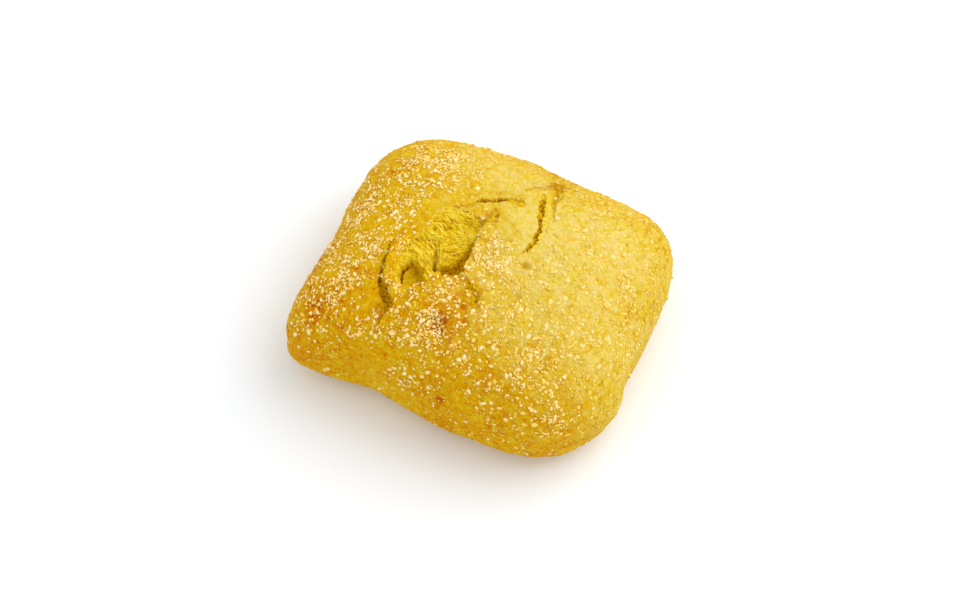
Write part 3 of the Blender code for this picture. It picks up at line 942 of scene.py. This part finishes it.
def cube_grid():
    """A cube from -1 to 1 in even cells, finer above the foot and finer again round the split."""
    bm = bmesh.new()
    bmesh.ops.create_cube(bm, size=2)
    for axis, cells in enumerate(CRUST_CELLS):
        along = [edge for edge in bm.edges if abs(edge.verts[0].co[axis] - edge.verts[1].co[axis]) > 1]
        bmesh.ops.subdivide_edges(bm, edges=along, cuts=cells - 1, use_grid_fill=True)
    for reach in (None, *FINER_REACHES):
        faces = list(bm.faces)
        middles = pillow(np.array([face.calc_center_median() for face in faces]))
        wanted = torn(middles, reach) if reach else middles[:, 2] > FINER_ABOVE
        edges = {edge for face, near in zip(faces, wanted) if near for edge in face.edges}
        bmesh.ops.subdivide_edges(bm, edges=list(edges), cuts=1, use_grid_fill=True)
    bmesh.ops.triangulate(bm, faces=[face for face in bm.faces if len(face.verts) > 4])
    return bm


def torn(points, reach):
    """Whether each point is this near to a crack or the sharp lip, or on the crumb at the first reach."""
    places = points[:, :2]
    lines = [line for line in CRACKS if line is not VALLEY]
    gap = np.min([nearest(places, line)[0] for line in (*lines, SHARP_LIP)], axis=0)
    opened = inside(places, SPLIT_OUTLINE) & (reach == FINER_REACHES[0])
    return ((gap < reach) | opened) & (points[:, 2] > BELLY_HEIGHT)


def paint(mesh, name, numbers):
    mesh.attributes.new(name, "FLOAT", "POINT").data.foreach_set("value", numbers.astype(np.float32))


def corners_of(mesh):
    """Where the mesh's corners are, as an array of points."""
    points = np.empty(len(mesh.vertices) * 3)
    mesh.vertices.foreach_get("co", points)
    return points.reshape(-1, 3)


def place_corners(mesh, points):
    mesh.vertices.foreach_set("co", points.astype(np.float32).ravel())
    mesh.update()


def out_of(mesh):
    """Which way is out of the mesh at each of its corners."""
    ways = np.empty(len(mesh.vertices) * 3, np.float32)
    mesh.vertex_normals.foreach_get("vector", ways)
    return ways.reshape(-1, 3).astype(float)


def ragged(plain):
    """The places seen from above, shifted a little this way and that, so that every torn edge is uneven."""
    places = plain[:, :2].copy()
    for size, way in RAGGED_SIZES:
        places += np.stack([lumps(plain + shift, size) for shift in (0.0, RAGGED_SHIFT)], axis=1) * way
    return places


def toast_and_crack_shade_of(plain, places, opened, top):
    """How dark the crust is baked: in its own mottled spots and along the sharp lip, and darker at the
    cracks, partly by painted shade.
    """
    lip = bell(nearest(places, SHARP_LIP)[0], LIP_TOAST_REACH) * top
    # Crack edges darker, partly by darker bake and partly by painted shade in the cracks.
    edges = lip + smoothstep(*CRACK_DARKENING_CUT, opened) * CRACK_TOAST_AND_SHADE
    mottled = fields(plain, TOAST) * (1 + TOAST_MOTTLING * lumps(plain, TOAST_MOTTLE))
    return PLAIN_TOAST + mottled + edges * LIP_TOAST


def shade_of(places, split, opened, cave):
    """How dark the crumb's painted shade is: by its depth, in the cracks, at the cave's edge and between the
    threads.
    """
    by_depth = np.clip((split - SHADE_FROM) / SHADE_OVER, 0.0, SHADE_MOST) * (1 - cave * CAVE_LIGHT)
    edges = trough(places, CAVE_SHADE, steep=True) + smoothstep(*CRACK_CUT, opened) * CRACK_SHADE
    return by_depth + fields(places, CRUMB_SHADE, edges)


def paleness_of(plain):
    """How pale and floury the crust is: most on top at the right, less low down and at front and back."""
    x, y, z = plain.T
    high = smoothstep(*PALE_HEIGHTS, z + np.clip(x - PALE_RIM, 0.0, PALE_RIM_REACH))
    pale = smoothstep(*PALE_LEFT, x + y * SLANT) * smoothstep(*PALE_FRONT, y) * high
    return pale * (1 - smoothstep(*PALE_BACK, y) * PALE_BACK_LOSS)


def make_crust():
    """The whole roll's skin: the solid's own form, with the fine relief of its crust and its torn crumb."""
    crust = new_piece("crust", cube_grid(), crust_look())
    mesh = crust.data
    plain = pillow(corners_of(mesh))
    points = swollen(plain)
    place_corners(mesh, points)
    out = out_of(mesh)
    places = ragged(plain)

    # What is cut into the crust at each corner, and how much of the corner is crumb, cave or foot.
    top = smoothstep(*TOP_HEIGHTS, plain[:, 2])
    split, under = split_cut(places)
    cracks = sum(trough(places, line, steep=line is not RIM) for line in CRACKS)
    band = trough(places, TORN_BAND, steep=True)
    opened = cracks - band - trough(places, VALLEY, steep=True)
    pits = fields(places, PITS)
    crumb = np.maximum(smoothstep(*CRUMB_CUT, split + opened), smoothstep(*BAND_CUT, band) * BAND_CRUMB)
    crumb *= top
    cave = in_cave(places) * top
    foot = 1 - smoothstep(0.0, FOOT_HEIGHT, plain[:, 2])

    for size, height in CRUST_RELIEF:
        points += out * (lumps(plain, size) * height * (1 - crumb) * (1 - foot))[:, None]
    torn_relief = sum(lumps(plain + CRUMB_SHIFT, size) * height for size, height in CRUMB_RELIEF)
    torn_relief *= 1 - cave * (1 - CAVE_RELIEF)
    points[:, 2] += torn_relief * crumb - (split + cracks + pits) * top
    points[:, :2] += under * top[:, None]
    middle = (points.min(axis=0) + points.max(axis=0)) / 2
    points[:, :2] -= middle[:2]
    place_corners(mesh, points * MM)
    mesh.shade_smooth()

    lobe = bell(np.linalg.norm(plain[:, :2] - LOBE, axis=1), LOBE_REACH)
    paint(mesh, "toast", toast_and_crack_shade_of(plain, places, opened, top))
    paint(mesh, "crumb", crumb)
    # The crumb's painted shade.
    paint(mesh, "deep", shade_of(places, split, opened, cave))
    paint(mesh, "cave", cave)
    paint(mesh, "bare", np.clip(lobe + crumb, 0.0, 1.0))
    paint(mesh, "foot", foot)
    paint(mesh, "pale", paleness_of(plain))
    return crust


def chip(draw):
    """One grit of radius 1, as its corners and faces: a knobbly chip with a few flat sides."""
    bm = bmesh.new()
    bmesh.ops.create_icosphere(bm, subdivisions=1, radius=1.0)
    for vert in bm.verts:
        vert.co *= draw.uniform(*CHIP_CORNERS)
    bm.verts.index_update()
    corners = np.array([vert.co for vert in bm.verts])
    faces = np.array([[vert.index for vert in face.verts] for face in bm.faces])
    bm.free()
    return corners, faces


def join_copies(name, copies, material):
    """One mesh of many small shapes, each given as its corners, its faces and its tone."""
    corners, faces, tones, first = [], [], [], 0
    for points, sides, tone in copies:
        corners.append(points)
        faces.append(sides + first)
        tones.append(np.full(len(points), tone))
        first += len(points)
    mesh = bpy.data.meshes.new(name)
    mesh.from_pydata((np.concatenate(corners) * MM).tolist(), [], np.concatenate(faces).tolist())
    paint(mesh, "tone", np.concatenate(tones))
    mesh.materials.append(material)
    piece = bpy.data.objects.new(name, mesh)
    bpy.context.scene.collection.objects.link(piece)
    return piece


def turned(draw, out):
    """A random turn about the way out, as three axes: two along the skin and the last out of it."""
    side = np.cross(out, draw.normal(size=3))
    side /= np.linalg.norm(side)
    return np.stack([side, np.cross(out, side), out])


def face_data(mesh):
    """The middle of each face in millimetres, its way out, and its area."""
    count = len(mesh.polygons)
    middles, outs, areas = np.empty(count * 3), np.empty(count * 3), np.empty(count)
    mesh.polygons.foreach_get("center", middles)
    mesh.polygons.foreach_get("normal", outs)
    mesh.polygons.foreach_get("area", areas)
    return middles.reshape(-1, 3) / MM, outs.reshape(-1, 3), areas


def bare_share(mesh, middles):
    """1 where no grit lies: on torn crumb, on the smooth lobe and under the roll."""
    crumb = np.empty(len(mesh.vertices), np.float32)
    mesh.attributes["crumb"].data.foreach_get("value", crumb)
    corner, first = np.empty(len(mesh.loops), np.int32), np.empty(len(mesh.polygons), np.int32)
    mesh.loops.foreach_get("vertex_index", corner)
    mesh.polygons.foreach_get("loop_start", first)
    lobe = (np.linalg.norm(middles[:, :2] - LOBE, axis=1) < LOBE_REACH) & (middles[:, 2] > BELLY_HEIGHT)
    return ((crumb[corner[first]] > BARE_CRUMB) | lobe | (middles[:, 2] < BARE_FOOT)).astype(float)


def scatter(draw, mesh, thickness, count, radii, taken):
    """Places for grits: (middle, way out, radius), thickest where asked and seldom deep in each other."""
    middles, outs, areas = face_data(mesh)
    weight = areas * np.clip(thickness(middles), 0.0, None) * (1 - bare_share(mesh, middles))
    picks = draw.choice(len(middles), size=count * PICKS_PER_GRIT, p=weight / weight.sum())
    smallest, largest = radii
    found = []
    for pick in picks:
        if len(found) == count:
            break
        radius = smallest + (largest - smallest) * draw.random() ** GRIT_SKEW
        place = middles[pick] + draw.normal(size=3) * GRIT_SHIFT
        cell = tuple((place // GRIT_CELL).astype(int))
        near = [
            other
            for step in product((-1, 0, 1), repeat=3)
            for other in taken.get(tuple(a + b for a, b in zip(cell, step)), ())
        ]
        if all(np.linalg.norm(place - at) > (radius + size) * GRIT_CLOSENESS for at, size in near):
            taken.setdefault(cell, []).append((place, radius))
            found.append((place, outs[pick], radius))
    return found


def gathered(middles):
    """How grits gather by chance: in small heaps, and in strings round the swells."""
    heaps = smoothstep(*HEAP_EDGE, lumps(middles + HEAP_SHIFT, HEAP_SIZE))
    strings = 1 - smoothstep(*STRING_EDGE, abs(lumps(middles + STRING_SHIFT, STRING_SIZE)))
    patches = PATCH_LEAST + smoothstep(*PATCH_EDGE, lumps(middles + PATCH_SHIFT, PATCH_SIZE))
    return (LONE_SHARE + heaps * HEAP_SHARE + strings * STRING_SHARE) * patches


def grit_thickness(middles):
    """How thickly the coarse grits lie: in their fields, along the sharp lip and on the rim."""
    places, upper = middles[:, :2], middles[:, 2] > BELLY_HEIGHT
    lip = bell(nearest(places, SHARP_LIP)[0], LIP_GRIT_REACH) * upper
    rim = bell(nearest(places, RIM)[0], RIM_GRIT_REACH) * upper
    asked = fields(middles, GRIT_FIELDS) + (lip + rim * RIM_GRITS) * LIP_GRITS
    return (GRIT_FLOOR + asked * smoothstep(*GRIT_HEIGHTS, middles[:, 2])) * gathered(middles)


def sunken_thickness(middles):
    """How thickly the half covered grits lie: most on the right and on top."""
    right = smoothstep(*SUNKEN_SIDE, middles[:, 0])
    high = smoothstep(*GRIT_HEIGHTS, middles[:, 2])
    return (SUNKEN_LEFT + right) * (SUNKEN_LOW + high) * gathered(middles + SUNKEN_SHIFT)


def lit_side_grit_shade(place):
    """How much deeper a grit's tone is at this place, as painted shade, most where the lamp lights it most.
    """
    x, y, _ = place
    right, back = smoothstep(*GRIT_SHADE_RIGHT, x + y * SLANT), smoothstep(*GRIT_SHADE_BACK, y)
    return right * GRIT_SHADE_RIGHT_SHARE + back * GRIT_SHADE_BACK_SHARE


def make_grits(name, draw, spots, material, sink, flatness):
    """One mesh of all the grits, each a copy of one of a few chips, stretched and turned by chance."""
    shapes = [chip(draw) for _ in range(GRIT_SHAPES)]
    copies = []
    for place, out, radius in spots:
        corners, faces = shapes[draw.integers(GRIT_SHAPES)]
        lean = out + draw.normal(size=3) * GRIT_LEAN
        sizes = [draw.uniform(*limits) for limits in (GRIT_LENGTHS, GRIT_WIDTHS, flatness)]
        points = (corners * (np.array(sizes) * radius)) @ turned(draw, lean / np.linalg.norm(lean))
        points = points + place + out * radius * sink
        # Each grit's random tone, deepened by painted shade on the lamp's side.
        copies.append((points, faces, draw.uniform(0.0, 1.0) * (1 - lit_side_grit_shade(place))))
    return join_copies(name, copies, material)


def paint_grit_toast_and_shade(mesh, spots):
    """Darkens the crust between grits that lie close together, partly as darker bake and partly as painted
    shade.
    """
    tree = KDTree(len(mesh.vertices))
    for vert in mesh.vertices:
        tree.insert(vert.co / MM, vert.index)
    tree.balance()
    moat = np.zeros(len(mesh.vertices))
    for place, _, radius in spots:
        for _, index, gap in tree.find_range(place, GRIT_TOAST_AND_SHADE_REACH):
            moat[index] += radius * (1 - gap / GRIT_TOAST_AND_SHADE_REACH)
    paint(mesh, "moat", np.minimum(moat, GRIT_TOAST_AND_SHADE_MOST))


def along(guide, shares):
    """Places along a guide, from 0 at its start to 1 at its end."""
    steps = np.linspace(0.0, 1.0, len(guide))
    return np.stack([np.interp(shares, steps, axis) for axis in zip(*guide)], axis=1)


def thread(draw, tree, sheet, shortest, longest):
    """One thread's points and radii: between two guides, half sunk in the crumb, with its ends under it."""
    guide = draw.integers(len(sheet) - 1)
    reach = draw.uniform(shortest, longest)
    start = draw.uniform(0.0, 1.0 - reach)
    length = sum(math.dist(a, b) for a, b in zip(sheet[guide], sheet[guide][1:])) * reach
    count = max(THREAD_FEWEST, round(length / THREAD_STEP))
    shares = np.linspace(start, start + reach, count)
    nearer = draw.random() + np.linspace(0.0, draw.normal() * THREAD_DRIFT, count)
    nearer = np.clip(nearer, 0.0, 1.0)[:, None]
    places = along(sheet[guide], shares) * (1 - nearer) + along(sheet[guide + 1], shares) * nearer
    turns = np.linspace(0.0, draw.uniform(*THREAD_TURNS), count)
    waves = [np.sin(turns + draw.uniform(*THREAD_PHASES)) for _ in range(2)]
    places += np.stack(waves, axis=1) * THREAD_WANDER
    down = Vector((0.0, 0.0, -1.0))
    high = [tree.ray_cast(Vector((*place, ABOVE_ALL)), down)[0].z for place in places.tolist()]
    padded = np.pad(high, THREAD_EASE // 2, mode="edge")
    eased = np.convolve(padded, np.full(THREAD_EASE, 1 / THREAD_EASE), mode="valid")
    share = np.sin(np.linspace(0.0, math.pi, count))
    radius = draw.uniform(*THREAD_RADII)
    risen = np.maximum(high, eased) - radius + share * radius * draw.uniform(*THREAD_RISE)
    return np.column_stack([places, risen]), radius * (THREAD_END + (1 - THREAD_END) * share)


def make_threads(draw, crust):
    """Hundreds of threads of crumb that lie over the split's slopes, as one mesh of thin closed tubes."""
    bm = bmesh.new()
    bm.from_mesh(crust.data)
    bmesh.ops.scale(bm, vec=Vector((1.0, 1.0, 1.0)) / MM, verts=bm.verts)
    tree = BVHTree.FromBMesh(bm)
    bm.free()
    curve = bpy.data.curves.new("threads", "CURVE")
    curve.dimensions = "3D"
    curve.bevel_depth = MM
    curve.bevel_resolution = 0
    curve.use_fill_caps = True
    for shade in THREAD_SHADES:
        curve.materials.append(thread_look(shade))
    for sheet, count, shortest, longest in SHEETS:
        for _ in range(count):
            points, radii = thread(draw, tree, sheet, shortest, longest)
            spline = curve.splines.new("POLY")
            spline.material_index = draw.integers(len(THREAD_SHADES))
            spline.points.add(len(points) - 1)
            spline.points.foreach_set("co", np.column_stack([points * MM, np.ones(len(points))]).ravel())
            spline.points.foreach_set("radius", radii)
    path = bpy.data.objects.new("thread_paths", curve)
    mesh = bpy.data.meshes.new_from_object(path)
    bpy.data.objects.remove(path)
    mesh.name = "threads"
    bm = bmesh.new()
    bm.from_mesh(mesh)
    bmesh.ops.remove_doubles(bm, verts=bm.verts, dist=WELD * MM)
    bm.to_mesh(mesh)
    bm.free()
    threads = bpy.data.objects.new("threads", mesh)
    bpy.context.scene.collection.objects.link(threads)
    return threads


def main():
    set_camera()
    set_studio()
    draw = np.random.default_rng(SEED)
    crust = make_crust()
    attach(crust, "root")
    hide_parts("ciabatta")
    taken = {}
    spots = scatter(draw, crust.data, grit_thickness, GRIT_COUNT, GRIT_RADII, taken)
    paint_grit_toast_and_shade(crust.data, spots)
    look = grit_look("grits", GRIT_STOPS)
    grits = make_grits("grits", draw, spots, look, GRIT_SINK, GRIT_FLATNESS)
    spots = scatter(draw, crust.data, sunken_thickness, SUNKEN_COUNT, SUNKEN_RADII, taken)
    look = grit_look("sunken_grits", SUNKEN_STOPS)
    sunken = make_grits("sunken_grits", draw, spots, look, SUNKEN_SINK, SUNKEN_FLATNESS)
    for piece in (grits, sunken):
        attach(piece, "root")
    threads = make_threads(draw, crust)
    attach(threads, "root")


main()
